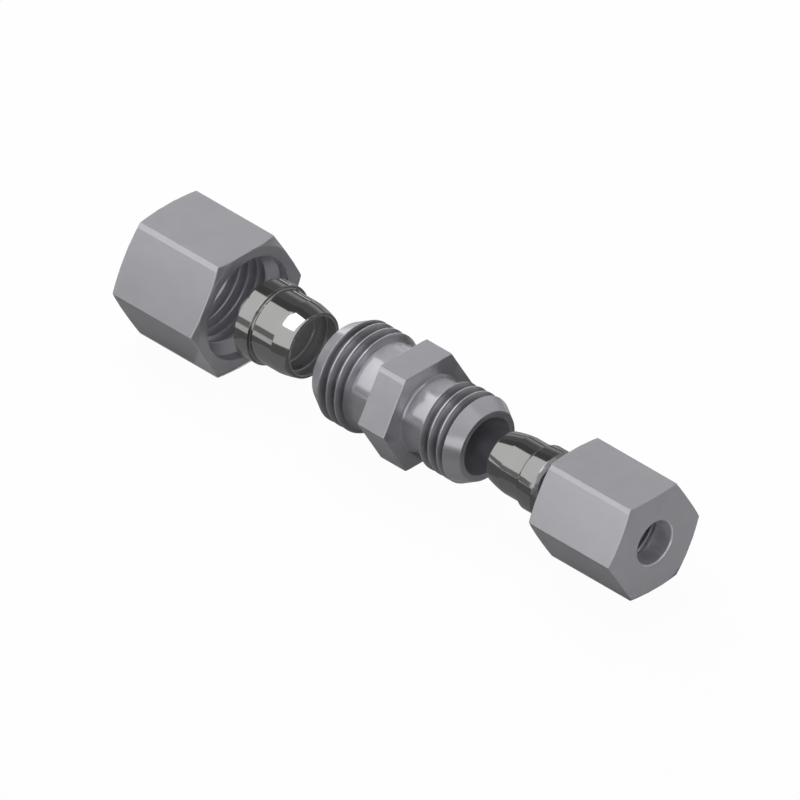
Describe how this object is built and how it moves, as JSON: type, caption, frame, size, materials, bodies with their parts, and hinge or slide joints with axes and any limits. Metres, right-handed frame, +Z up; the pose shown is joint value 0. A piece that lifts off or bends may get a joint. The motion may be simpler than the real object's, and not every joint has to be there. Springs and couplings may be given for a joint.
{
  "type": "tube fitting",
  "caption": "Straight reducing compression tube fitting: a hexagon body with a threaded cone end on each side, cutting rings and union nuts laid out in line.",
  "frame": {"origin": "centre of the bounding box, on the plane of the larger nut's lower flat", "axes": "+X along the tube axis from the 8 mm end to the 6 mm end, +Z up, square to the flats that lie on top"},
  "size_m": [0.0862, 0.0196, 0.017],
  "materials": {
    "plated_steel": "satin grey plating",
    "ring_steel": "dark, polished"
  },
  "bodies": {
    "body": {"reducer_body": "plated_steel"},
    "large_nut": {"union_nut_8mm": "plated_steel"},
    "large_ring": {"cutting_ring_8mm": "ring_steel"},
    "small_nut": {"union_nut_6mm": "plated_steel"},
    "small_ring": {"cutting_ring_6mm": "ring_steel"}
  },
  "joints": [
    {"name": "large_nut_slide", "type": "slide", "parent": "body", "child": "large_nut", "axis": [1, 0, 0], "range_m": [0, 0.02076]},
    {"name": "large_ring_slide", "type": "slide", "parent": "body", "child": "large_ring", "axis": [1, 0, 0], "range_m": [0, 0.0076]},
    {"name": "small_nut_slide", "type": "slide", "parent": "body", "child": "small_nut", "axis": [-1, 0, 0], "range_m": [0, 0.01871]},
    {"name": "small_ring_slide", "type": "slide", "parent": "body", "child": "small_ring", "axis": [-1, 0, 0], "range_m": [0, 0.00555]}
  ],
  "couplings": [
    {"joint": "large_ring_slide", "follows": "large_nut_slide", "ratio": 0.36619},
    {"joint": "small_ring_slide", "follows": "small_nut_slide", "ratio": 0.29675}
  ]
}
